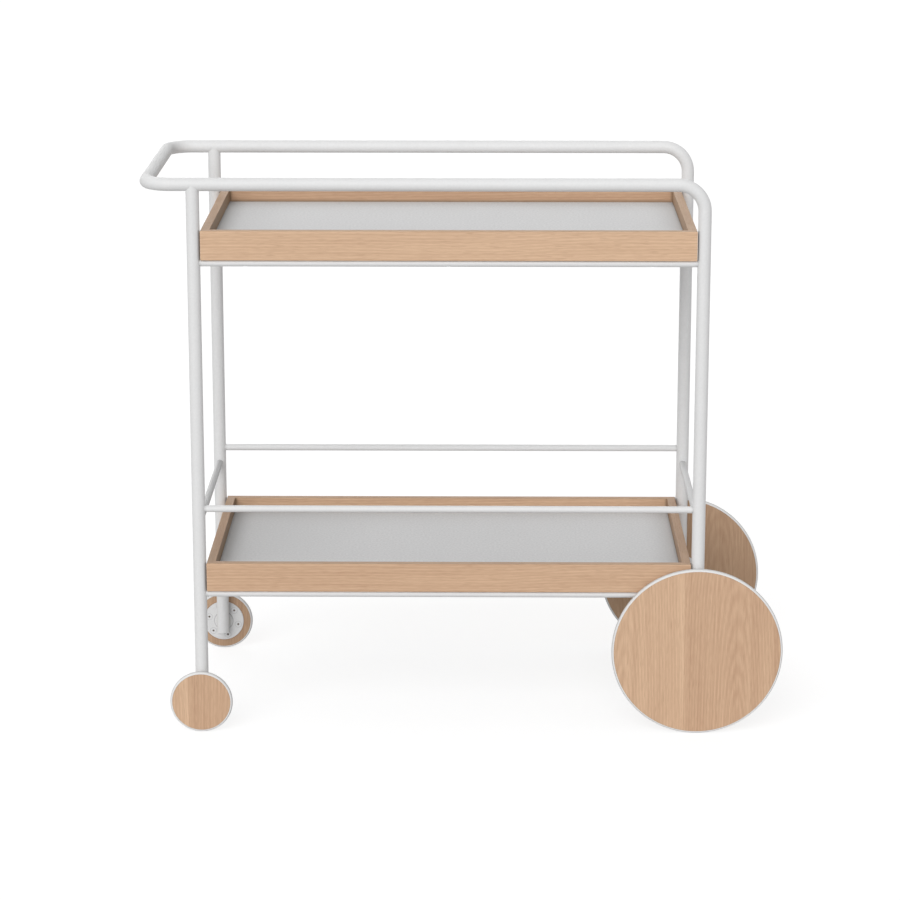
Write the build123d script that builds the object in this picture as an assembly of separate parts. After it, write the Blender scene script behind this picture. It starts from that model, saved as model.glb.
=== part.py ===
from build123d import *
import os

# Serving cart: a bent tube frame with two oak trays, two big wheels and two small ones.
# Millimetres. +X points to the big wheels, +Z up, and the floor is Z = 0.
# Right (-Y) and left (+Y) are those of a person at the handle who faces +X.
# The origin lies on the floor, midway along the cart's length and width.

# Frame
tube_diameter = 18.0
tube_wall = 1.5
bend_radius = 36.0  # of the tube's axis, in every bend
rod_diameter = 9.5
leg_pitch_x = 688.0  # between the leg axes along the cart
leg_pitch_y = 350.0  # between the leg axes across it
rail_axis_z = 767.0
handle_reach = 65.0  # handle axis beyond the handle legs' axes
guard_rod_rise = 76.5  # axes of the long guard rods above the lower tray's rim
guard_end_rod_drop = 22.0  # axes of the short guard rods below those of the long ones
leg_below_axle = 14.0  # how far a leg reaches below its axle
plug_flange = 1.5
plug_clearance = 0.15
plug_boss_gap = 1.0  # between a plug and the axle boss above it

# Trays
upper_tray_drop = 62.0  # rail axis down to the upper tray's rim
lower_tray_clearance = 200.5  # floor up to the lower tray's boards
board_thickness = 12.0
board_height = 40.0
board_round = 1.0  # on the long edges that a hand touches
tray_setback = 2.0  # outer face behind the outer side of the legs
tray_end_clearance = 0.75  # between a tray and the legs
panel_drop = 18.0  # rim down to the panel's upper face
panel_thickness = 8.0
tongue_thickness = 4.0
tongue_depth = 4.0
panel_clearance = 0.3
tray_screw_diameter = 3.5
tray_screw_head_diameter = 5.5
tray_screw_head_height = 1.6
tray_screw_head_clearance = 0.3  # round a head in its counterbore
tray_screw_tip_gap = 2.0  # between a screw's tip and the panel's groove
tray_screw_seat = 2.5  # head's bearing face below the rod axis
tray_screw_inset = 60.0  # outer screws from the tray's ends
tray_screws_per_rod = 3

# Wheels
disc_diameters = {"big": 231.0, "small": 81.0}
disc_thickness = 8.0
disc_chamfer = 0.4
tyre_thickness = 3.0
tyre_shoulder = 1.2  # flat side of the tyre outside the disc
tyre_rib_width = 3.0
tyre_rib_height = 1.5

# Hubs and axles
hub_plate_diameter = 60.0
hub_plate_thickness = 2.5
hub_plate_proud = 0.8  # plate's inner face before the disc's inner face
hub_plate_clearance = 0.2
hub_plate_chamfer = 0.4
hub_boss_diameter = 28.0
hub_boss_height = 1.0
hub_end_play = 0.25
hub_screw_circle = 45.0
hub_screw_count = 6
hub_screw_start = 15.0
hub_screw_diameter = 5.0
hub_screw_head_diameter = 9.5
hub_screw_socket = 3.0  # across flats
hub_screw_socket_depth = 1.6
hub_screw_cover = 2.5  # wood left in front of a screw's tip
bush_diameter = 12.0
bush_flange_diameter = 16.0
bush_flange_thickness = 0.8
axle_diameter = 8.0
axle_running_clearance = 0.05
axle_head_diameter = 14.0
axle_head_thickness = 2.2
axle_head_socket = 4.0  # across flats
axle_head_socket_depth = 1.4
axle_head_clearance = 0.4
axle_pocket_clearance = 2.0
axle_thread_diameter = 6.0
axle_thread_length = 11.0
axle_boss_diameter = 12.0
axle_boss_proud = 0.8
thrust_washer_diameter = 21.0
thrust_washer_thickness = 0.6
thrust_washer_clearance = 0.1
thread_clearance = 0.05
thread_runout = 1.0  # tapped hole beyond the bolt's end

# Places that follow from the sizes above
tube_radius = tube_diameter / 2
tube_bore_radius = tube_radius - tube_wall
rod_radius = rod_diameter / 2
side_y = leg_pitch_y / 2
wheel_radii = {size: d / 2 + tyre_thickness for size, d in disc_diameters.items()}
handle_leg_x = (handle_reach + tube_radius - leg_pitch_x - wheel_radii["big"]) / 2
wheel_leg_x = handle_leg_x + leg_pitch_x
handle_x = handle_leg_x - handle_reach
axle_x = {"big": wheel_leg_x, "small": handle_leg_x}
leg_end_z = {size: wheel_radii[size] - leg_below_axle for size in wheel_radii}
tray_x = (handle_leg_x + wheel_leg_x) / 2
tray_length = leg_pitch_x - tube_diameter - 2 * tray_end_clearance
tray_width = leg_pitch_y + tube_diameter - 2 * tray_setback
panel_underside = board_height - panel_drop - panel_thickness  # above the tray's underside
tray_screw_grip = panel_underside - tray_screw_tip_gap
tray_undersides = {
    "upper": rail_axis_z - upper_tray_drop - board_height,
    "lower": lower_tray_clearance,
}
guard_rod_z = tray_undersides["lower"] + board_height + guard_rod_rise
guard_end_rod_z = guard_rod_z - guard_end_rod_drop
sides = {"right": -1, "left": 1}

# The wheel's stack, as distances out from the leg's axis along the axle
boss_face = tube_radius + axle_boss_proud
washer_face = boss_face + thrust_washer_thickness
hub_face = washer_face + hub_end_play
plate_face = hub_face + hub_boss_height
plate_back = plate_face + hub_plate_thickness
disc_inner = plate_face + hub_plate_proud
disc_outer = disc_inner + disc_thickness
bush_end = plate_back + bush_flange_thickness
head_face = bush_end + hub_end_play
head_end = head_face + axle_head_thickness
pocket_floor = head_end + axle_head_clearance


def bar(radius, start, direction, length):
    """A round bar from a point along a direction."""
    end_up = (Align.CENTER, Align.CENTER, Align.MIN)
    return Plane(origin=start, z_dir=direction) * Cylinder(radius, length, align=end_up)


def ring(radius, bore, low, high):
    """A plain ring about Z between two heights."""
    outside = bar(radius, (0, 0, low), (0, 0, 1), high - low)
    return outside - bar(bore, (0, 0, low), (0, 0, 1), high - low)


def turned(points):
    """A solid turned about Z from its half section, as (radius, height) corners."""
    corners = [(radius, 0, height) for radius, height in points]
    return revolve(make_face(Polyline(*corners, close=True)), Axis.Z)


def hex_socket(across_flats, mouth, floor):
    """A hexagonal key socket about Z from its mouth to its floor."""
    outline = RegularPolygon(across_flats / 2, 6, major_radius=False)
    return extrude(Pos(0, 0, mouth) * outline, floor - mouth)


def axle_centre(size, side):
    """Where an axle crosses its leg's axis."""
    return (axle_x[size], sides[side] * side_y, wheel_radii[size])


def on_axle(size, side, piece):
    """Puts a piece made about Z on an axle, with +Z pointing out from the leg."""
    outward = (0, sides[side], 0)
    return Plane(origin=axle_centre(size, side), x_dir=(1, 0, 0), z_dir=outward) * piece


# Frame

def rail_bar(radius):
    """A bar bent along the axis of the legs, rails and handle."""
    foot_z = leg_end_z["big"] + plug_flange
    axis = FilletPolyline(
        (wheel_leg_x, -side_y, foot_z),
        (wheel_leg_x, -side_y, rail_axis_z),
        (handle_x, -side_y, rail_axis_z),
        (handle_x, side_y, rail_axis_z),
        (wheel_leg_x, side_y, rail_axis_z),
        (wheel_leg_x, side_y, foot_z),
        radius=bend_radius,
    )
    return sweep(Pos(wheel_leg_x, -side_y, foot_z) * Circle(radius), path=axis)


def boss_hole(size, side):
    """The hole for an axle boss in a leg's outer wall."""
    return on_axle(size, side, bar(axle_boss_diameter / 2, (0, 0, 0), (0, 0, 1), tube_diameter))


def rail_tube():
    tube = rail_bar(tube_radius) - rail_bar(tube_bore_radius)
    for side in sides:
        tube -= boss_hole("big", side)
    return tube


def handle_leg(side):
    """A straight leg whose upper end is coped to the underside of its rail."""
    foot = (handle_leg_x, sides[side] * side_y, leg_end_z["small"] + plug_flange)
    length = rail_axis_z - foot[2]
    rail = bar(tube_radius, (handle_x, foot[1], rail_axis_z), (1, 0, 0), leg_pitch_x)
    leg = bar(tube_radius, foot, (0, 0, 1), length) - bar(tube_bore_radius, foot, (0, 0, 1), length)
    return leg - rail - boss_hole("small", side)


def filled_leg(x, y):
    """A leg's full outline, used to cope the rods that meet it."""
    return bar(tube_radius, (x, y, 0), (0, 0, 1), rail_axis_z)


def long_rod(side, z):
    """A rod between two legs of one side."""
    y = sides[side] * side_y
    rod = bar(rod_radius, (handle_leg_x, y, z), (1, 0, 0), leg_pitch_x)
    return rod - filled_leg(handle_leg_x, y) - filled_leg(wheel_leg_x, y)


def tray_rod(side, tray):
    """A rod under a tray, drilled and counterbored for the tray's screws."""
    axis_z = tray_undersides[tray] - rod_radius
    rod = long_rod(side, axis_z)
    shank = tray_screw_diameter / 2 + thread_clearance
    head = tray_screw_head_diameter / 2 + tray_screw_head_clearance
    for place in tray_screw_places(side, tray):
        hole = bar(shank, place, (0, 0, 1), tray_screw_seat + rod_diameter)
        counterbore = bar(head, place, (0, 0, -1), rod_diameter)
        rod -= hole + counterbore
    return rod


def end_guard_rod(x):
    """A rod across one end, between the two legs there."""
    rod = bar(rod_radius, (x, -side_y, guard_end_rod_z), (0, 1, 0), leg_pitch_y)
    return rod - filled_leg(x, -side_y) - filled_leg(x, side_y)


def axle_boss(size, side):
    """A boss through a leg's outer wall, seated on its far wall inside and tapped for the axle bolt."""
    radius = axle_boss_diameter / 2
    x, y, z = axle_centre(size, side)
    bore = bar(tube_bore_radius, (x, y, z - tube_diameter), (0, 0, 1), 2 * tube_diameter)
    inside = on_axle(size, side, bar(radius, (0, 0, -tube_radius), (0, 0, 1), tube_diameter)) & bore
    collar = on_axle(size, side, bar(radius, (0, 0, 0), (0, 0, 1), boss_face))
    tapped = bar(
        axle_thread_diameter / 2 + thread_clearance,
        (0, 0, boss_face),
        (0, 0, -1),
        axle_thread_length + thread_runout,
    )
    return inside + collar - on_axle(size, side, tapped)


def leg_plug(size, side):
    """A plug whose flange closes a leg's end and whose stem sits in the tube."""
    x, y, axle_z = axle_centre(size, side)
    foot = (x, y, leg_end_z[size])
    stem_top = axle_z - axle_boss_diameter / 2 - plug_boss_gap
    stem = bar(tube_bore_radius - plug_clearance, foot, (0, 0, 1), stem_top - foot[2])
    flange = bar(tube_radius, foot, (0, 0, 1), plug_flange)
    return flange + stem


# Trays

def tray_screw_places(side, tray):
    """The middles of the screw heads' bearing faces in one rod."""
    y = sides[side] * side_y
    z = tray_undersides[tray] - rod_radius - tray_screw_seat
    span = tray_length - 2 * tray_screw_inset
    step = span / (tray_screws_per_rod - 1)
    return [(tray_x - span / 2 + n * step, y, z) for n in range(tray_screws_per_rod)]


def tray_screw(place):
    """A pan-headed wood screw that points up."""
    length = tray_screw_seat + rod_radius + tray_screw_grip
    shank = bar(tray_screw_diameter / 2, place, (0, 0, 1), length)
    return shank + bar(tray_screw_head_diameter / 2, place, (0, 0, -1), tray_screw_head_height)


def tray_screws(tray):
    return [tray_screw(place) for side in sides for place in tray_screw_places(side, tray)]


def slab(length, width, low, high):
    """A flat block about the trays' middle between two heights."""
    base_up = (Align.CENTER, Align.CENTER, Align.MIN)
    return Pos(tray_x, 0, low) * Box(length, width, high - low, align=base_up)


def tray_panel(tray):
    """A panel that fills the tray, with a tongue round its lower half."""
    bottom = tray_undersides[tray] + panel_underside
    top = bottom + panel_thickness
    inset = 2 * (board_thickness + panel_clearance)
    reach = 2 * (board_thickness - tongue_depth + panel_clearance)
    body = slab(tray_length - inset, tray_width - inset, bottom, top)
    tongue = slab(tray_length - reach, tray_width - reach, bottom, bottom + tongue_thickness)
    return body + tongue


def tray_rim(tray):
    """The ring of four boards before it is cut at the mitres."""
    low = tray_undersides[tray]
    high = low + board_height
    inside = 2 * board_thickness
    grooved = inside - 2 * tongue_depth
    groove_low = low + panel_underside
    groove_high = groove_low + tongue_thickness + panel_clearance
    rim = slab(tray_length, tray_width, low, high)
    rim -= slab(tray_length - inside, tray_width - inside, low, high)
    rim = fillet(rim.edges().group_by(Axis.Z)[-1], board_round)
    rim -= slab(tray_length - grooved, tray_width - grooved, groove_low, groove_high)
    pilot = tray_screw_diameter / 2 + thread_clearance
    pilot_length = tray_screw_seat + rod_radius + tray_screw_grip + thread_runout
    for side in sides:
        for place in tray_screw_places(side, tray):
            rim -= bar(pilot, place, (0, 0, 1), pilot_length)
    return rim


def mitre_block(tray, outward_x, outward_y):
    """The wedge of the tray between the two mitre cuts of one board."""
    corner_x = tray_length / 2
    corner_y = tray_width / 2
    reach = 2 * board_thickness
    if outward_y:
        outer = (corner_x, corner_y * outward_y)
        inner = (corner_x - reach, (corner_y - reach) * outward_y)
        corners = [outer, inner, (-inner[0], inner[1]), (-outer[0], outer[1])]
    else:
        outer = (corner_x * outward_x, corner_y)
        inner = ((corner_x - reach) * outward_x, corner_y - reach)
        corners = [outer, inner, (inner[0], -inner[1]), (outer[0], -outer[1])]
    outline = make_face(Polyline(*corners, close=True))
    return extrude(Pos(tray_x, 0, tray_undersides[tray]) * outline, board_height, dir=(0, 0, 1))


board_directions = {"right": (0, -1), "left": (0, 1), "handle_end": (-1, 0), "wheel_end": (1, 0)}


# Wheels

def wheel_disc(size):
    """A wooden disc with a groove in its rim, and the hub's recess and pocket in its inner face."""
    rim = disc_diameters[size] / 2
    middle = (disc_inner + disc_outer) / 2
    groove = rim - tyre_rib_height
    recess = hub_plate_diameter / 2 + hub_plate_clearance
    pocket = bush_flange_diameter / 2 + axle_pocket_clearance
    disc = turned([
        (0, disc_outer),
        (rim - disc_chamfer, disc_outer),
        (rim, disc_outer - disc_chamfer),
        (rim, middle + tyre_rib_width / 2),
        (groove, middle + tyre_rib_width / 2),
        (groove, middle - tyre_rib_width / 2),
        (rim, middle - tyre_rib_width / 2),
        (rim, disc_inner + disc_chamfer),
        (rim - disc_chamfer, disc_inner),
        (recess, disc_inner),
        (recess, plate_back),
        (pocket, plate_back),
        (pocket, pocket_floor),
        (0, pocket_floor),
    ])
    for place in hub_screw_places():
        disc -= place * bar(
            hub_screw_diameter / 2 + thread_clearance,
            (0, 0, plate_back),
            (0, 0, 1),
            disc_outer - hub_screw_cover - plate_back,
        )
    return disc


def wheel_tyre(size):
    """A ring with a crowned tread, and a rib inside that fills the disc's groove."""
    seat = disc_diameters[size] / 2
    crown = seat + tyre_thickness
    middle = (disc_inner + disc_outer) / 2
    rib = seat - tyre_rib_height
    low = middle - tyre_rib_width / 2
    high = middle + tyre_rib_width / 2
    shoulder = seat + tyre_shoulder
    section = Polyline(
        (shoulder, 0, disc_outer),
        (seat, 0, disc_outer),
        (seat, 0, high),
        (rib, 0, high),
        (rib, 0, low),
        (seat, 0, low),
        (seat, 0, disc_inner),
        (shoulder, 0, disc_inner),
    )
    tread = ThreePointArc((shoulder, 0, disc_inner), (crown, 0, middle), (shoulder, 0, disc_outer))
    return revolve(make_face([section, tread]), Axis.Z)


def hub_screw_places():
    return PolarLocations(hub_screw_circle / 2, hub_screw_count, hub_screw_start)


def hub_plate():
    """A round plate with a raised middle, countersunk for the screws."""
    edge = hub_plate_diameter / 2
    boss = hub_boss_diameter / 2
    bore = bush_diameter / 2
    plate = turned([
        (bore, hub_face),
        (boss - hub_plate_chamfer, hub_face),
        (boss, hub_face + hub_plate_chamfer),
        (boss, plate_face),
        (edge - hub_plate_chamfer, plate_face),
        (edge, plate_face + hub_plate_chamfer),
        (edge, plate_back),
        (bore, plate_back),
    ])
    for place in hub_screw_places():
        plate -= place * screw_outline(thread_clearance)
    return plate


def screw_outline(clearance):
    """A countersunk screw's outside, widened all round by a clearance."""
    head = hub_screw_head_diameter / 2 + clearance
    shank = hub_screw_diameter / 2 + clearance
    tip = disc_outer - hub_screw_cover
    return turned([
        (0, plate_face),
        (head, plate_face),
        (shank, plate_face + head - shank),
        (shank, tip),
        (0, tip),
    ])


def hub_screw():
    socket = hex_socket(hub_screw_socket, plate_face, plate_face + hub_screw_socket_depth)
    return screw_outline(0) - socket


def bush():
    """A flanged bush, pressed into the hub plate, that turns on the axle bolt."""
    bore = axle_diameter / 2 + axle_running_clearance
    sleeve = ring(bush_diameter / 2, bore, hub_face, bush_end)
    flange = ring(bush_flange_diameter / 2, bore, plate_back, bush_end)
    return sleeve + flange


def axle_bolt():
    """A shoulder bolt whose shoulder is the axle and whose flat head holds the wheel."""
    head = bar(axle_head_diameter / 2, (0, 0, head_face), (0, 0, 1), axle_head_thickness)
    shoulder = bar(axle_diameter / 2, (0, 0, boss_face), (0, 0, 1), head_end - boss_face)
    thread = bar(axle_thread_diameter / 2, (0, 0, boss_face), (0, 0, -1), axle_thread_length)
    socket = hex_socket(axle_head_socket, head_end, head_end - axle_head_socket_depth)
    return head + shoulder + thread - socket


def thrust_washer():
    return ring(
        thrust_washer_diameter / 2,
        axle_diameter / 2 + thrust_washer_clearance,
        boss_face,
        washer_face,
    )


# Assembly

def node(name, *solids):
    """Writes one piece, or one group of like pieces, to its own file."""
    piece = solids[0] if len(solids) == 1 else Compound(children=list(solids))
    export_step(piece, os.path.join("parts", name + ".step"))


def frame_nodes():
    node("rail_tube", rail_tube())
    for side in sides:
        node(f"handle_leg_{side}", handle_leg(side))
        node(f"guard_rod_{side}", long_rod(side, guard_rod_z))
        for tray in tray_undersides:
            node(f"{tray}_tray_rod_{side}", tray_rod(side, tray))
    node("guard_rod_handle_end", end_guard_rod(handle_leg_x))
    node("guard_rod_wheel_end", end_guard_rod(wheel_leg_x))
    legs = [(size, side) for size in disc_diameters for side in sides]
    node("axle_bosses", *[axle_boss(size, side) for size, side in legs])
    node("leg_plugs", *[leg_plug(size, side) for size, side in legs])


def tray_nodes():
    for tray in tray_undersides:
        rim = tray_rim(tray)
        for name, (outward_x, outward_y) in board_directions.items():
            node(f"{tray}_tray_board_{name}", rim & mitre_block(tray, outward_x, outward_y))
        node(f"{tray}_tray_panel", tray_panel(tray))
        node(f"tray_screws_{tray}", *tray_screws(tray))


def wheel_nodes():
    for size in disc_diameters:
        for side in sides:
            screws = [place * hub_screw() for place in hub_screw_places()]
            node(f"{size}_wheel_disc_{side}", on_axle(size, side, wheel_disc(size)))
            node(f"{size}_wheel_tyre_{side}", on_axle(size, side, wheel_tyre(size)))
            node(f"{size}_wheel_hub_plate_{side}", on_axle(size, side, hub_plate()))
            node(f"{size}_wheel_bush_{side}", on_axle(size, side, bush()))
            node(f"{size}_wheel_hub_screws_{side}", *[on_axle(size, side, screw) for screw in screws])
            node(f"{size}_wheel_axle_bolt_{side}", on_axle(size, side, axle_bolt()))
            node(f"{size}_wheel_thrust_washer_{side}", on_axle(size, side, thrust_washer()))


os.makedirs("parts", exist_ok=True)
frame_nodes()
tray_nodes()
wheel_nodes()
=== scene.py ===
import math

import bpy
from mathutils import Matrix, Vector


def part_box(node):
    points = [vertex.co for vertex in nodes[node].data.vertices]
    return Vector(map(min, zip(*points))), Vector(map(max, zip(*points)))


# Looks of the serving cart: powder coated steel, lacquered oak, laminate and white rubber.
# Metres, in the cart's own frame: +X to the big wheels, +Y to the left side, +Z up.

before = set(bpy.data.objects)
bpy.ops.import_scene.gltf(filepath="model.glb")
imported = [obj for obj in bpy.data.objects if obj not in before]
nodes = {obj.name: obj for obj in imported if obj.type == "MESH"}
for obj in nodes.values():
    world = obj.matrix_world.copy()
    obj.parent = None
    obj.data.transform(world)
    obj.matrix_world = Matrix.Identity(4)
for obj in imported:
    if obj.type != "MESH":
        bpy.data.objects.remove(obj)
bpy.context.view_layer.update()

SIDES = ("right", "left")
ENDS = ("handle_end", "wheel_end")
WHEEL_SIZES = ("big", "small")
TRAYS = ("upper", "lower")
ORIGIN = (0.0, 0.0, 0.0)

# Camera, set back along -Y and above the handle
CAMERA_PLACE = (0.0187, -4.200, 1.4087)
CAMERA_AIM = (-0.0221, 0.0, 0.3571)
CAMERA_LENS = 121.3
SENSOR = 36.0

# Light
ROOM_LIGHT = 0.56
WHITE = (1.0, 1.0, 1.0, 1.0)
KEY_FROM = (-0.243, -0.849, 0.469)
KEY_SPREAD = math.radians(50)
KEY_POWER = 1.74
FILL_FROM = (-0.250, 0.945, 0.200)  # from behind, for the far side
FILL_SPREAD = math.radians(60)
FILL_POWER = 0.85

# Floor
FLOOR_HALF = 30.0
FLOOR_BOUNCE = 0.56  # floor white as it throws light back up
FLOOR_SEEN = 0.36  # and as the camera sees it, under a glow that shows no shadow
FLOOR_GLOW = 0.735
FLOOR_CLOUD = (1.5, 2.0)
FLOOR_CLOUD_LEVEL = 0.01

# In what follows, colours are linear light. A noise is spots to a metre, detail and, where
# it is given, roughness.
# A finish's roughness is its least value and what its pattern adds. A bump is strength and depth.

# Powder coat
COAT_WHITE = (0.790, 0.790, 0.790)
COAT_SHADE = (0.682, 0.683, 0.685)
# The short guard rods, greyer as painted shade
END_ROD_SHADED_WHITES = {"handle_end": (0.575, 0.575, 0.575), "wheel_end": (0.650, 0.650, 0.650)}
END_ROD_SHADES = {"handle_end": (0.483, 0.484, 0.486), "wheel_end": (0.545, 0.546, 0.548)}
# Orange peel of the coat
PEEL_WIDTH = 0.0030
PEEL = (1 / PEEL_WIDTH, 2.0, 0.55)
PEEL_SHARE = 0.70  # of the tint, and the rest is cloud
COAT_CLOUD = (22.0, 3.0)
COAT_ROUGHNESS = (0.44, 0.14)
COAT_SPECULAR = 0.42
COAT_BUMP = (0.10, 0.00016)

# Painted shade on the powder coat
PAINTED_SHADE_GREY = (0.40, 0.40, 0.40)
GAP_SHADE_DEPTH = 0.70
GAP_LINE = (0.0008, 0.0045)  # where the painted shade line on a leg beside a tray fades, from the tray
GAP_END = 0.001  # how far the line runs past the tray's rim and underside
JOINT_LINE = (0.0, 0.0040)  # the same painted shade where a rod meets a leg, from the leg
JOINT_SHADE_DEPTH = 0.45
END_JOINT_SHADE_DEPTH = 0.90
BAR_SHADE_DEPTH = 0.46  # painted shade on the handle's bar
BAR_FADE = (0.018, 0.045)  # where it fades along the rails, from the bar's outer face
BEND_FADE = (0.014, 0.050)  # and where it sets in beyond the bends, from the rails' outer faces
INNER_ROD_SHADE_DEPTH = 0.45  # painted shade on the inner side of the guard rod at the handle end

# Hub plates and screws, as built
HUB_RADIUS = 0.030
HUB_BOSS_RADIUS = 0.014
SCREW_CIRCLE = 0.0225
SCREW_COUNT = 6
SCREW_START = math.radians(15)
SCREW_HEAD_RADIUS = 0.00475
SOCKET_RADIUS = 0.0014

# Coat of the hub plates and screws
HUB_PEEL = (500.0, 2.0, 0.55)
HUB_ROUGHNESS = (0.46, 0.14)
HUB_SPECULAR = 0.40
HUB_BUMP = (0.10, 0.00012)
BOSS_LINE = (0.0003, 0.0008)  # painted shade line round the boss, where it fades
BOSS_SHADE_DEPTH = 0.70
SCREW_LINE = (0.0002, 0.0006)  # and round a screw
SCREW_SHADE_DEPTH = 0.55
SCREW_PEEL = (700.0, 2.0, 0.55)
SCREW_ROUGHNESS = (0.42, 0.14)
SCREW_BUMP = (0.10, 0.00010)
# Painted shade in the screws' sockets
SOCKET_SHADE_BROWN = (0.130, 0.092, 0.066)
SOCKET_EDGE = (SOCKET_RADIUS - 0.0001, SOCKET_RADIUS + 0.0003)
# Painted shade round the edge of a screw's head
HEAD_EDGE = (SCREW_HEAD_RADIUS - 0.0006, SCREW_HEAD_RADIUS)
HEAD_EDGE_SHADE_DEPTH = 0.50

# Oak
OAK_DARK = (0.490, 0.302, 0.194)
OAK_TAN = (0.651, 0.441, 0.292)
OAK_PALE = (0.800, 0.560, 0.380)
OAK_TONES = [(0.0, OAK_DARK), (0.5, OAK_TAN), (1.0, OAK_PALE)]
OAK_PORE = (0.360, 0.205, 0.128)
# Painted shade of the oak, on board rims, inner faces, corners, behind the legs and on the
# wheels' inner faces
OAK_SHADE = (0.250, 0.168, 0.106)
OAK_ROUGHNESS = 0.50
STREAK_ROUGHNESS = 0.10
PORE_ROUGHNESS = 0.12
OAK_SPECULAR = 0.16
OAK_BUMP = (0.10, 0.00012)
STREAK_HEIGHT = 0.35  # against a pore's depth

# Figure of the oak, each pattern as length, width, detail and roughness
SWAY = (0.200, 1 / 14, 0.5, 0.5)
STREAK = (0.220, 0.0014, 2.0, 0.6)
BAND = (0.300, 0.0060, 2.0, 0.5)
FLECK = (0.014, 0.0009, 1.0, 0.5)
PORE = (0.018, 0.0006, 1.0, 0.5)
LINE_SWAY = 0.004  # how far the grain wanders
RING_SWAY = 3.2  # and by how many rings
RING_SPACING = 0.0042
PORE_EDGE = (0.56, 0.70)
PORE_IN_RING = (0.40, 0.60)  # pores between the rings, and what a ring adds
PORE_DEPTH = 0.42
STREAK_TONE = 0.56
FLECK_TONE = 0.42
BAND_TONE = 0.50
RING_TONE = 0.18
LOG_DEPTH = 0.016  # middle of the log behind the face

# Boards of the trays, their tones from 0 for dark to 1 for pale
BOARD_TONES = {
    "upper": {"right": 0.52, "left": 0.17, "handle_end": 0.26, "wheel_end": 0.34},
    "lower": {"right": 0.35, "left": 0.34, "handle_end": 0.22, "wheel_end": 0.14},
}
BOARD_TAPER = 0.04  # slope of the log against the grain
BOARD_PITH = 0.050  # middle of the log above a board's rim
FACE_SLACK = 0.0004  # for telling one face of a board from another
RIM_EDGE = (-0.0008, -0.0003)  # where the side of a board turns into its rim
RIM_SHADE_DEPTH = 0.40  # painted shade of the rim
# Painted shade of the inner faces
INNER_SHADES = {"right": 0.10, "left": 0.06, "handle_end": 0.92, "wheel_end": 0.55}
CORNER_LINE = (0.0, 0.005)  # where the painted shade line between panel and boards fades
CORNER_SHADE_DEPTH = 0.85
LEG_STRIP = (0.014, 0.018)  # where the painted shade strip behind a leg fades, from a board's end
LEG_SHADE_DEPTH = 0.80

# Discs of the wheels
WHEEL_TONE = 0.30
WHEEL_TAPER = 0.12
WHEEL_SEAM = -0.018  # where the two leaves of a wheel meet, from its middle
LEFT_PITH = -0.100  # middle of the arched figure in each leaf
RIGHT_PITH = 0.058
LEAF_SHIFT = 0.6  # the left leaf comes from further along the log
LEFT_LEAF_TONE = 0.10
SAPWOOD_EDGE = (-0.030, -0.018)  # where the sapwood begins, from the seam
SAPWOOD_TONE = 0.12
INNER_SLACK = 0.001  # for telling a disc's inner face
INNER_WHEEL_SHADE_DEPTH = 0.32  # painted shade of the inner face
HUB_LINE = (0.0006, 0.0018)  # where the painted shade line round the hub plate fades
HUB_SHADE_TONE = 0.55
TYRE_LINE = (-0.0008, -0.0001)  # where the disc darkens with painted shade beside the tyre, from its rim
TYRE_SHADE_TONE = 0.25

# Laminate
LAMINATE_GREY = (0.718, 0.718, 0.720)
LAMINATE_FLECK = (0.596, 0.597, 0.601)
LAMINATE_GRAIN = (300.0, 3.0, 0.65)
GRAIN_EDGE = (0.34, 0.66)
GRAIN_SHARE = 0.80  # of the tint, and the rest is cloud
LAMINATE_CLOUD = (9.0, 2.0)
LAMINATE_ROUGHNESS = (0.52, 0.12)
LAMINATE_SPECULAR = 0.16
LAMINATE_BUMP = (0.12, 0.00012)

# Painted shade on a panel, from each end board to where it fades
PANEL_CORNER_SHADE_DEPTH = 0.45  # of the painted shade line along the boards
WHEEL_END_DUSK = (0.0, 0.045)
WHEEL_END_DEPTH = 0.30
HANDLE_END_DUSK = (0.0, 0.035)
HANDLE_END_DEPTHS = {"upper": 0.52, "lower": 0.50}
WIDE_DUSKS = {"upper": (0.030, 0.110), "lower": (0.050, 0.230)}  # wider, at the handle end
WIDE_DEPTHS = {"upper": 0.17, "lower": 0.20}
SLANT_SHADOW_DEPTHS = {"upper": 0.0, "lower": 0.08}  # painted shadow that the upper tray throws

# White rubber
RUBBER_WHITE = (0.78, 0.78, 0.775)
# Tread colour, scuffed and with painted shade
RUBBER_SCUFF_AND_SHADE = (0.50, 0.497, 0.49)
RUBBER_GRIT = (900.0, 2.0)
SCUFF_PATCH = (40.0, 3.0)
SCUFF_AND_SHADE = (0.35, 0.40)  # least scuff and painted shade of the tread, and what a patch adds
TREAD_EDGE = (-0.0012, -0.0002)  # where the tread begins, from the crown
RUBBER_ROUGHNESS = (0.58, 0.14)
RUBBER_SPECULAR = 0.35
RUBBER_BUMP = (0.10, 0.00012)

# Turned metal
BRASS = (0.60, 0.43, 0.19)
BRASS_DULL = (0.42, 0.29, 0.13)
ZINC = (0.55, 0.56, 0.57)
ZINC_DULL = (0.40, 0.41, 0.42)
TOOL_MARK_WIDTH = 0.0003
TOOL_MARKS = (1 / TOOL_MARK_WIDTH, 2.0)
MARK_SHARE = 0.50  # of the tint, and the rest is stain
METAL_STAIN = (160.0, 3.0)
METAL_ROUGHNESS = (0.26, 0.18)
METAL_BUMP = (0.12, 0.00006)

# Moulded plastic
NYLON = (0.78, 0.78, 0.74)
NYLON_SHADE = (0.68, 0.68, 0.64)
PLUG_WHITE = (0.76, 0.76, 0.76)
PLUG_SHADE = (0.69, 0.69, 0.69)
MOULD_GRAIN = (1500.0, 2.0)
MOULD_SHARE = 0.50  # of the tint, and the rest is cloud
PLASTIC_CLOUD = (60.0, 2.0)
PLASTIC_ROUGHNESS = (0.48, 0.12)
PLASTIC_BUMP = (0.10, 0.00008)


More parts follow.
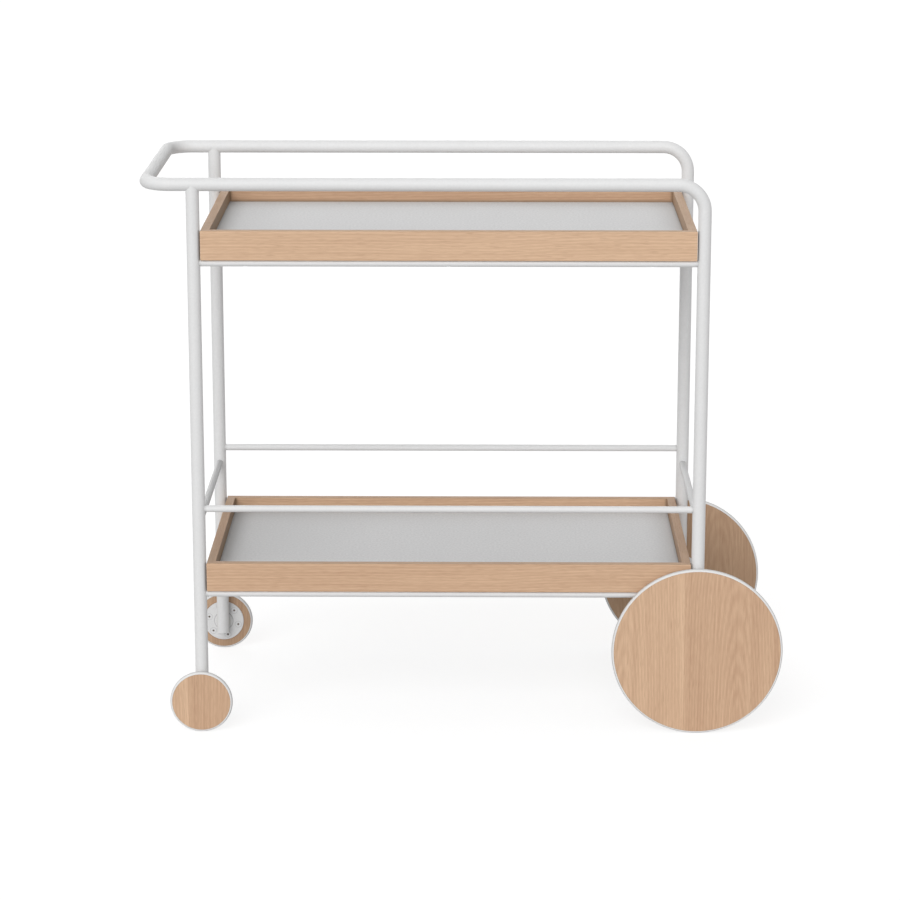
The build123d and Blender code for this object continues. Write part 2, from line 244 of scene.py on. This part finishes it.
class Field:
    """A value that varies over a surface. Sums and products of fields add Math nodes."""

    def __init__(self, finish, socket):
        self.finish = finish
        self.socket = socket

    def math(self, operation, *values):
        sockets = dict(enumerate(values))
        return self.finish.node("ShaderNodeMath", {"operation": operation}, sockets)

    def __add__(self, other):
        return self.math("ADD", self, other)

    def __radd__(self, other):
        return self.math("ADD", other, self)

    def __sub__(self, other):
        return self.math("SUBTRACT", self, other)

    def __rsub__(self, other):
        return self.math("SUBTRACT", other, self)

    def __mul__(self, other):
        return self.math("MULTIPLY", self, other)

    def __rmul__(self, other):
        return self.math("MULTIPLY", other, self)

    def __truediv__(self, other):
        return self.math("DIVIDE", self, other)

    def __rtruediv__(self, other):
        return self.math("DIVIDE", other, self)

    def __gt__(self, other):
        return self.math("GREATER_THAN", self, other)

    def __lt__(self, other):
        return self.math("LESS_THAN", self, other)

    def least(self, other):
        return self.math("MINIMUM", self, other)

    def most(self, other):
        return self.math("MAXIMUM", self, other)

    def root(self):
        return self.math("SQRT", self)

    def sine(self):
        return self.math("SINE", self)

    def cosine(self):
        return self.math("COSINE", self)

    def size(self):
        return self.math("ABSOLUTE", self)

    def nearest_whole(self):
        return self.math("ROUND", self)


class Finish:
    """A procedural material, or the light of the room, in the making."""

    def __init__(self, name, shelf=bpy.data.materials):
        self.holder = shelf.new(name)
        self.holder.use_nodes = True
        self.tree = self.holder.node_tree
        self.tree.nodes.clear()

    def node(self, kind, settings=None, sockets=None, output=0):
        """Adds a node, sets it up, fills or links its sockets and gives one output."""
        made = self.tree.nodes.new(kind)
        for name, value in (settings or {}).items():
            if name == "stops":
                stops = made.color_ramp.elements
                while len(stops) < len(value):
                    stops.new(1.0)
                for stop, (place, colour) in zip(stops, value):
                    stop.position = place
                    stop.color = (*colour, 1.0)
            else:
                setattr(made, name, value)
        for name, value in (sockets or {}).items():
            if isinstance(value, Field):
                self.tree.links.new(value.socket, made.inputs[name])
            else:
                made.inputs[name].default_value = value
        return Field(self, made.outputs[output]) if made.outputs else None

    def place(self, centre=ORIGIN):
        """The point on the piece, measured from a centre, as three fields."""
        point = self.node("ShaderNodeTexCoord", output="Object")
        point = self.node(
            "ShaderNodeVectorMath", {"operation": "SUBTRACT"}, {0: point, 1: centre}
        )
        split = self.node("ShaderNodeSeparateXYZ", sockets={"Vector": point})
        return [Field(self, socket) for socket in split.socket.node.outputs]

    def vector(self, x, y, z):
        return self.node("ShaderNodeCombineXYZ", sockets={0: x, 1: y, 2: z})

    def noise(self, point, scale, detail, roughness=0.5):
        return self.node(
            "ShaderNodeTexNoise",
            sockets={"Vector": point, "Scale": scale, "Detail": detail, "Roughness": roughness},
        )

    def rise(self, value, low, high):
        """0 up to low, 1 from high on and smooth between."""
        return self.node(
            "ShaderNodeMapRange",
            {"interpolation_type": "SMOOTHSTEP"},
            {"Value": value, "From Min": low, "From Max": high},
        )

    def fade(self, value, low, high):
        """1 up to low, 0 from high on and smooth between."""
        return 1.0 - self.rise(value, low, high)

    def blend(self, share, first, second):
        """A colour between two colours."""
        first, second = (c if isinstance(c, Field) else (*c, 1.0) for c in (first, second))
        return self.node(
            "ShaderNodeMix", {"data_type": "RGBA"}, {0: share, 6: first, 7: second}, output=2
        )

    def bump(self, height, strength, depth):
        return self.node(
            "ShaderNodeBump", sockets={"Strength": strength, "Distance": depth, "Height": height}
        )

    def surface(self, sockets):
        """The finished surface, from the shader's sockets."""
        shader = self.node("ShaderNodeBsdfPrincipled", sockets=sockets)
        self.node("ShaderNodeOutputMaterial", sockets={"Surface": shader})
        return self.holder


def varied(least, change, pattern):
    """A value that a pattern raises."""
    return least + change * pattern


def shared(share, first, second):
    """Two patterns in one."""
    return share * first + (1.0 - share) * second


def reach(first, second):
    """How far a point lies from the middle, from its two offsets."""
    return (first * first + second * second).root()


def past(value, low, high):
    """How far a value lies outside a stretch, below 0 within it."""
    return (value - (low + high) / 2).size() - (high - low) / 2


# Finishes of the frame

def powder_coat(finish, place, shade, white=COAT_WHITE, dull=COAT_SHADE):
    """White powder coat with a fine orange peel, with painted shade where shade is 1."""
    point = finish.vector(*place)
    peel = finish.noise(point, *PEEL)
    cloud = finish.noise(point, *COAT_CLOUD)
    tint = finish.blend(shared(PEEL_SHARE, peel, cloud), dull, white)
    return finish.surface({
        "Base Color": finish.blend(shade, tint, PAINTED_SHADE_GREY),
        "Roughness": varied(*COAT_ROUGHNESS, peel),
        "Specular IOR Level": COAT_SPECULAR,
        "Normal": finish.bump(peel, *COAT_BUMP),
    })


def tube_coat(name, tube, trays):
    """Coat of the tubes, with painted shade on the handle's bar and in the gaps at the trays'
    ends.
    """
    finish = Finish(name)
    x, y, z = finish.place()
    bar = finish.fade(x - tube[0].x, *BAR_FADE)
    shade = BAR_SHADE_DEPTH * bar * finish.rise(tube[1].y - y.size(), *BEND_FADE)
    for low, high in trays:
        beside = finish.rise(z, low.z - GAP_END, low.z) * finish.fade(z, high.z, high.z + GAP_END)
        shade = shade + GAP_SHADE_DEPTH * beside * finish.fade(past(x, low.x, high.x), *GAP_LINE)
    return powder_coat(finish, (x, y, z), shade)


def rod_coat(name, near, far, radius, depth, tints=(COAT_WHITE, COAT_SHADE), inner=None):
    """Coat of the rods, with painted shade where they meet the legs and on an inner side."""
    finish = Finish(name)
    x, y, z = finish.place()
    gap = reach(past(x, near.x, far.x), past(y, near.y, far.y)) - radius
    shade = depth * finish.fade(gap, *JOINT_LINE)
    if inner:
        shade = shade + INNER_ROD_SHADE_DEPTH * finish.rise(x, *inner)
    return powder_coat(finish, (x, y, z), shade, *tints)


# Finishes of the trays and wheels

def grain(finish, run, line, inside, pattern):
    """A pattern that is drawn out along the wood."""
    length, width, detail, roughness = pattern
    point = finish.vector(run / length, line / width, inside / width)
    return finish.noise(point, 1.0, detail, roughness)


def oak_figure(finish, run, face, inside, aside, behind, lift):
    """Tone, pores and streaks of oak whose grain follows run, seen beside the log's middle."""
    sway = grain(finish, run, face, inside, SWAY)
    line = face + LINE_SWAY * (sway - 0.5)
    turns = reach(aside, behind) / RING_SPACING + RING_SWAY * sway
    ring = varied(0.5, 0.5, (turns * (2 * math.pi)).sine())
    streak = grain(finish, run, line, inside, STREAK)
    band = grain(finish, run, line, inside, BAND)
    dash = grain(finish, run, line, inside, PORE)
    fleck = grain(finish, run, line, inside, FLECK)
    pore = finish.rise(dash, *PORE_EDGE) * varied(*PORE_IN_RING, ring)
    tone = lift + STREAK_TONE * (streak - 0.5) + FLECK_TONE * (fleck - 0.5)
    tone = tone + BAND_TONE * (band - 0.5) + RING_TONE * (ring - 0.5)
    return tone, pore, streak


def oak_surface(finish, tone, pore, streak, shade):
    """Lacquered oak, with painted shade where shade is 1."""
    wood = finish.node("ShaderNodeValToRGB", {"stops": OAK_TONES}, {"Fac": tone})
    wood = finish.blend(PORE_DEPTH * pore, wood, OAK_PORE)
    return finish.surface({
        "Base Color": finish.blend(shade, wood, OAK_SHADE),
        "Roughness": OAK_ROUGHNESS + STREAK_ROUGHNESS * streak + PORE_ROUGHNESS * pore,
        "Specular IOR Level": OAK_SPECULAR,
        "Normal": finish.bump(STREAK_HEIGHT * streak - pore, *OAK_BUMP),
    })


def board_oak(name, along, depth, rim, thickness, well, lift, inner_shade):
    """Oak of a tray's board, with painted shade on its rim, in the well's corners and behind the
    legs.
    """
    finish = Finish(name)
    low, high = well
    axes = finish.place((*((low + high) / 2).xy, rim))
    half = (high - low) / 2
    face = axes[2]
    run = axes[along]
    behind = LOG_DEPTH + BOARD_TAPER * run
    figure = oak_figure(finish, run, face, axes[depth], face - BOARD_PITH, behind, lift)
    edge = finish.rise(face, *RIM_EDGE)
    within = axes[depth].size() < half[depth] + FACE_SLACK
    corner = (face + (rim - low.z)).least(half[along] - run.size())
    dusk = finish.fade(corner, *CORNER_LINE)
    shade = within * (1.0 - edge) * varied(inner_shade, CORNER_SHADE_DEPTH - inner_shade, dusk)
    if along == 1:
        outer = axes[depth].size() > half[depth] + thickness - FACE_SLACK
        strip = finish.fade(half[along] + thickness - run.size(), *LEG_STRIP)
        shade = shade + LEG_SHADE_DEPTH * outer * strip
    return oak_surface(finish, *figure, shade + RIM_SHADE_DEPTH * edge)


def wheel_oak(name, axle, rim, inner):
    """Oak of a wheel, two leaves with upright grain and pale sapwood where they meet."""
    finish = Finish(name)
    across, depth, up = finish.place(axle)
    gap = across - WHEEL_SEAM
    left = gap < 0.0
    aside = across - RIGHT_PITH - (LEFT_PITH - RIGHT_PITH) * left
    run = up + LEAF_SHIFT * left
    behind = LOG_DEPTH + WHEEL_TAPER * up
    tone, pore, streak = oak_figure(finish, run, across, depth, aside, behind, WHEEL_TONE)
    sapwood = finish.rise(gap, *SAPWOOD_EDGE)
    tone = tone + left * varied(LEFT_LEAF_TONE, SAPWOOD_TONE, sapwood)

    # Painted shade lines round the hub plate, on the inner face, and where the tyre begins
    away = reach(across, up)
    within = depth.size() < inner + INNER_SLACK
    hub_shade = within * finish.fade(away - HUB_RADIUS, *HUB_LINE)
    tyre_shade = finish.rise(away - rim, *TYRE_LINE)
    tone = tone - HUB_SHADE_TONE * hub_shade - TYRE_SHADE_TONE * tyre_shade
    # Painted shade on the disc's inner face
    return oak_surface(finish, tone, pore, streak, INNER_WHEEL_SHADE_DEPTH * within)


def laminate(tray, low, high):
    """Light grey laminate with a fine fleck, with painted shade beside the boards and a painted
    shadow of the upper tray on the lower panel.
    """
    finish = Finish(f"{tray}_laminate")
    x, y, z = finish.place(tuple((low + high) / 2))
    point = finish.vector(x, y, z)
    half = (high - low) / 2
    from_wheel_end = half.x - x
    from_handle_end = half.x + x
    corner = finish.fade((half.x - x.size()).least(half.y - y.size()), *CORNER_LINE)
    shade = PANEL_CORNER_SHADE_DEPTH * corner
    shade = shade + WHEEL_END_DEPTH * finish.fade(from_wheel_end, *WHEEL_END_DUSK)
    shade = shade + HANDLE_END_DEPTHS[tray] * finish.fade(from_handle_end, *HANDLE_END_DUSK)
    shade = shade + WIDE_DEPTHS[tray] * finish.fade(from_handle_end, *WIDE_DUSKS[tray])
    shade = shade + SLANT_SHADOW_DEPTHS[tray] * (1.0 - x * y / (half.x * half.y))
    fleck = finish.rise(finish.noise(point, *LAMINATE_GRAIN), *GRAIN_EDGE)
    cloud = finish.noise(point, *LAMINATE_CLOUD)
    tint = finish.blend(shared(GRAIN_SHARE, fleck, cloud), LAMINATE_FLECK, LAMINATE_GREY)
    return finish.surface({
        "Base Color": finish.blend(shade, tint, PAINTED_SHADE_GREY),
        "Roughness": varied(*LAMINATE_ROUGHNESS, fleck),
        "Specular IOR Level": LAMINATE_SPECULAR,
        "Normal": finish.bump(fleck, *LAMINATE_BUMP),
    })


def tyre_rubber(name, axle, crown):
    """White rubber, darker on the tread where it rolls, from scuffs and painted shade."""
    finish = Finish(name)
    x, y, z = finish.place(axle)
    point = finish.vector(x, y, z)
    grit = finish.noise(point, *RUBBER_GRIT)
    patch = finish.noise(point, *SCUFF_PATCH)
    tread = finish.rise(reach(x, z) - crown, *TREAD_EDGE)
    scuff_and_shade = tread * varied(*SCUFF_AND_SHADE, patch)
    return finish.surface({
        "Base Color": finish.blend(scuff_and_shade, RUBBER_WHITE, RUBBER_SCUFF_AND_SHADE),
        "Roughness": varied(*RUBBER_ROUGHNESS, grit),
        "Specular IOR Level": RUBBER_SPECULAR,
        "Normal": finish.bump(grit, *RUBBER_BUMP),
    })


# Finishes of the hubs and fasteners

def from_screws(x, y, z):
    """How far a point of the hub lies from the middle of the nearest screw."""
    away = reach(x, z)
    side = 2.0 * (y > 0.0) - 1.0
    turn = z.math("ARCTAN2", z, x) + SCREW_START * side
    step = 2 * math.pi / SCREW_COUNT
    part = turn - step * (turn / step).nearest_whole()
    return (away * away + SCREW_CIRCLE**2 - 2 * SCREW_CIRCLE * away * part.cosine()).root()


def hub_coat(name, axle):
    """Powder coat of the hub plate, with painted shade lines round the boss and the screws."""
    finish = Finish(name)
    x, y, z = finish.place(axle)
    peel = finish.noise(finish.vector(x, y, z), *HUB_PEEL)
    boss = finish.fade((reach(x, z) - HUB_BOSS_RADIUS).size(), *BOSS_LINE)
    rings = finish.fade((from_screws(x, y, z) - SCREW_HEAD_RADIUS).size(), *SCREW_LINE)
    shade = (BOSS_SHADE_DEPTH * boss).most(SCREW_SHADE_DEPTH * rings)
    tint = finish.blend(peel, COAT_SHADE, COAT_WHITE)
    return finish.surface({
        "Base Color": finish.blend(shade, tint, PAINTED_SHADE_GREY),
        "Roughness": varied(*HUB_ROUGHNESS, peel),
        "Specular IOR Level": HUB_SPECULAR,
        "Normal": finish.bump(peel, *HUB_BUMP),
    })


def screw_coat(name, axle):
    """Coated screw heads with painted shade in the sockets and round the heads' edges."""
    finish = Finish(name)
    x, y, z = finish.place(axle)
    peel = finish.noise(finish.vector(x, y, z), *SCREW_PEEL)
    away = from_screws(x, y, z)
    socket = finish.fade(away, *SOCKET_EDGE)
    edge = finish.rise(away, *HEAD_EDGE)
    tint = finish.blend(peel, COAT_SHADE, COAT_WHITE)
    tint = finish.blend(HEAD_EDGE_SHADE_DEPTH * edge, tint, PAINTED_SHADE_GREY)
    return finish.surface({
        "Base Color": finish.blend(socket, tint, SOCKET_SHADE_BROWN),
        "Roughness": varied(*SCREW_ROUGHNESS, peel),
        "Specular IOR Level": HUB_SPECULAR,
        "Normal": finish.bump(peel, *SCREW_BUMP),
    })


def turned_metal(name, bright, dull, centre=ORIGIN):
    """Turned metal with fine tool marks round the axle."""
    finish = Finish(name)
    x, y, z = finish.place(centre)
    marks = finish.noise(finish.vector(reach(x, z), y, 0.0), *TOOL_MARKS)
    stain = finish.noise(finish.vector(x, y, z), *METAL_STAIN)
    return finish.surface({
        "Base Color": finish.blend(shared(MARK_SHARE, marks, stain), dull, bright),
        "Metallic": 1.0,
        "Roughness": varied(*METAL_ROUGHNESS, stain),
        "Normal": finish.bump(marks, *METAL_BUMP),
    })


def moulded_plastic(name, pale, shade):
    """Plain moulded plastic with a fine spark-eroded grain."""
    finish = Finish(name)
    point = finish.vector(*finish.place())
    sparks = finish.noise(point, *MOULD_GRAIN)
    cloud = finish.noise(point, *PLASTIC_CLOUD)
    return finish.surface({
        "Base Color": finish.blend(shared(MOULD_SHARE, sparks, cloud), shade, pale),
        "Roughness": varied(*PLASTIC_ROUGHNESS, sparks),
        "Normal": finish.bump(sparks, *PLASTIC_BUMP),
    })


# Dressing the pieces

def dress(material, *names):
    """Gives CAD nodes a finish."""
    for name in names:
        slots = nodes[name].data.materials
        slots.clear()
        slots.append(material)


def board_boxes(tray):
    """The corners of each board of a tray."""
    return {board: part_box(f"{tray}_tray_board_{board}") for board in BOARD_TONES[tray]}


def tray_box(tray):
    """The corners of a tray."""
    boxes = board_boxes(tray).values()
    low = Vector(min(box[0][axis] for box in boxes) for axis in range(3))
    high = Vector(max(box[1][axis] for box in boxes) for axis in range(3))
    return low, high


def dress_frame():
    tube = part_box("rail_tube")
    low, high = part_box("handle_leg_right")
    radius = (high.x - low.x) / 2
    near = (low + high) / 2
    far = Vector((tube[1].x - radius, -near.y, near.z))
    legs = [f"handle_leg_{side}" for side in SIDES]
    tray_rods = [f"{tray}_tray_rod_{side}" for tray in TRAYS for side in SIDES]
    guard_rods = [f"guard_rod_{side}" for side in SIDES]
    tubes = tube_coat("tube_coat", tube, [tray_box(tray) for tray in TRAYS])
    dress(tubes, "rail_tube", *legs)
    dress(rod_coat("rod_coat", near, far, radius, JOINT_SHADE_DEPTH), *tray_rods, *guard_rods)
    for end in ENDS:
        low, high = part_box(f"guard_rod_{end}")
        inner = (low.x, high.x) if end == "handle_end" else None
        tints = END_ROD_SHADED_WHITES[end], END_ROD_SHADES[end]
        coat = rod_coat(f"{end}_rod_coat", near, far, radius, END_JOINT_SHADE_DEPTH, tints, inner)
        dress(coat, f"guard_rod_{end}")
    dress(moulded_plastic("plug_plastic", PLUG_WHITE, PLUG_SHADE), "leg_plugs")
    dress(turned_metal("boss_zinc", ZINC, ZINC_DULL), "axle_bosses")


def dress_trays():
    screw_zinc = turned_metal("tray_screw_zinc", ZINC, ZINC_DULL)
    for tray in TRAYS:
        boxes = board_boxes(tray)
        rim = boxes["right"][1].z
        thickness = boxes["right"][1].y - boxes["right"][0].y
        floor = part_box(f"{tray}_tray_panel")[1].z
        low = Vector((boxes["handle_end"][1].x, boxes["right"][1].y, floor))
        high = Vector((boxes["wheel_end"][0].x, boxes["left"][0].y, floor))
        for board, tone in BOARD_TONES[tray].items():
            along, depth = (0, 1) if board in SIDES else (1, 0)
            shade = INNER_SHADES[board]
            name = f"{tray}_{board}_oak"
            oak = board_oak(name, along, depth, rim, thickness, (low, high), tone, shade)
            dress(oak, f"{tray}_tray_board_{board}")
        dress(laminate(tray, low, high), f"{tray}_tray_panel")
        dress(screw_zinc, f"tray_screws_{tray}")


def dress_wheels():
    washer_nylon = moulded_plastic("washer_nylon", NYLON, NYLON_SHADE)
    for size in WHEEL_SIZES:
        low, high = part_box(f"{size}_wheel_disc_right")
        middle = (low + high) / 2
        axle = (middle.x, 0.0, middle.z)
        rim = high.x - middle.x
        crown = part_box(f"{size}_wheel_tyre_right")[1].x - middle.x
        pieces = {
            "disc": wheel_oak(f"{size}_wheel_oak", axle, rim, -high.y),
            "tyre": tyre_rubber(f"{size}_tyre_rubber", axle, crown),
            "hub_plate": hub_coat(f"{size}_hub_coat", axle),
            "hub_screws": screw_coat(f"{size}_hub_screw_coat", axle),
            "bush": turned_metal(f"{size}_bush_brass", BRASS, BRASS_DULL, axle),
            "axle_bolt": turned_metal(f"{size}_axle_zinc", ZINC, ZINC_DULL, axle),
            "thrust_washer": washer_nylon,
        }
        for piece, material in pieces.items():
            dress(material, *[f"{size}_wheel_{piece}_{side}" for side in SIDES])


# Studio

def seen_white(finish):
    """1 where the camera, a mirror or a glass looks straight at the surface."""
    seen = finish.node("ShaderNodeLightPath", output="Is Camera Ray")
    rays = seen.socket.node.outputs
    for name in ("Is Glossy Ray", "Is Transmission Ray"):
        seen = seen.most(Field(finish, rays[name]))
    return seen


def floor_paint():
    """A pale floor that looks white and keeps a soft shadow."""
    finish = Finish("floor_paint")
    point = finish.vector(*finish.place())
    cloud = finish.noise(point, *FLOOR_CLOUD)
    seen = seen_white(finish)
    level = varied(FLOOR_BOUNCE, FLOOR_SEEN - FLOOR_BOUNCE, seen) + FLOOR_CLOUD_LEVEL * cloud
    glow = FLOOR_GLOW * seen
    return finish.surface({
        "Base Color": finish.vector(level, level, level),
        "Roughness": 1.0,
        "Specular IOR Level": 0.0,
        "Emission Color": finish.vector(glow, glow, glow),
        "Emission Strength": 1.0,
    })


def lay_floor():
    bpy.ops.object.select_all(action="DESELECT")
    bpy.ops.mesh.primitive_plane_add(size=2 * FLOOR_HALF)
    floor = bpy.context.object
    floor.name = "studio_floor"
    floor.data.materials.append(floor_paint())


def light_room():
    """An even grey room that looks white."""
    room = Finish("studio_room", bpy.data.worlds)
    light = room.node("ShaderNodeBackground", sockets={"Color": WHITE, "Strength": ROOM_LIGHT})
    backdrop = room.node("ShaderNodeBackground", sockets={"Color": WHITE, "Strength": 1.0})
    mix = room.node("ShaderNodeMixShader", sockets={0: seen_white(room), 1: light, 2: backdrop})
    room.node("ShaderNodeOutputWorld", sockets={"Surface": mix})
    bpy.context.scene.world = room.holder


def point_at(thing, target):
    look = Vector(target) - thing.location
    thing.rotation_euler = look.to_track_quat("-Z", "Y").to_euler()


def light_from(name, start, spread, power):
    """A soft lamp, far off in one direction."""
    lamp = bpy.data.lights.new(name, "SUN")
    lamp.energy = power
    lamp.angle = spread
    holder = bpy.data.objects.new(name, lamp)
    bpy.context.scene.collection.objects.link(holder)
    holder.location = start
    point_at(holder, ORIGIN)


def set_camera():
    camera = bpy.data.cameras.new("camera")
    camera.sensor_width = SENSOR
    camera.lens = CAMERA_LENS
    holder = bpy.data.objects.new("camera", camera)
    bpy.context.scene.collection.objects.link(holder)
    holder.location = CAMERA_PLACE
    point_at(holder, CAMERA_AIM)
    bpy.context.scene.camera = holder


dress_frame()
dress_trays()
dress_wheels()
lay_floor()
light_room()
light_from("key_lamp", KEY_FROM, KEY_SPREAD, KEY_POWER)
light_from("fill_lamp", FILL_FROM, FILL_SPREAD, FILL_POWER)
set_camera()
bpy.context.scene.view_settings.view_transform = "Standard"
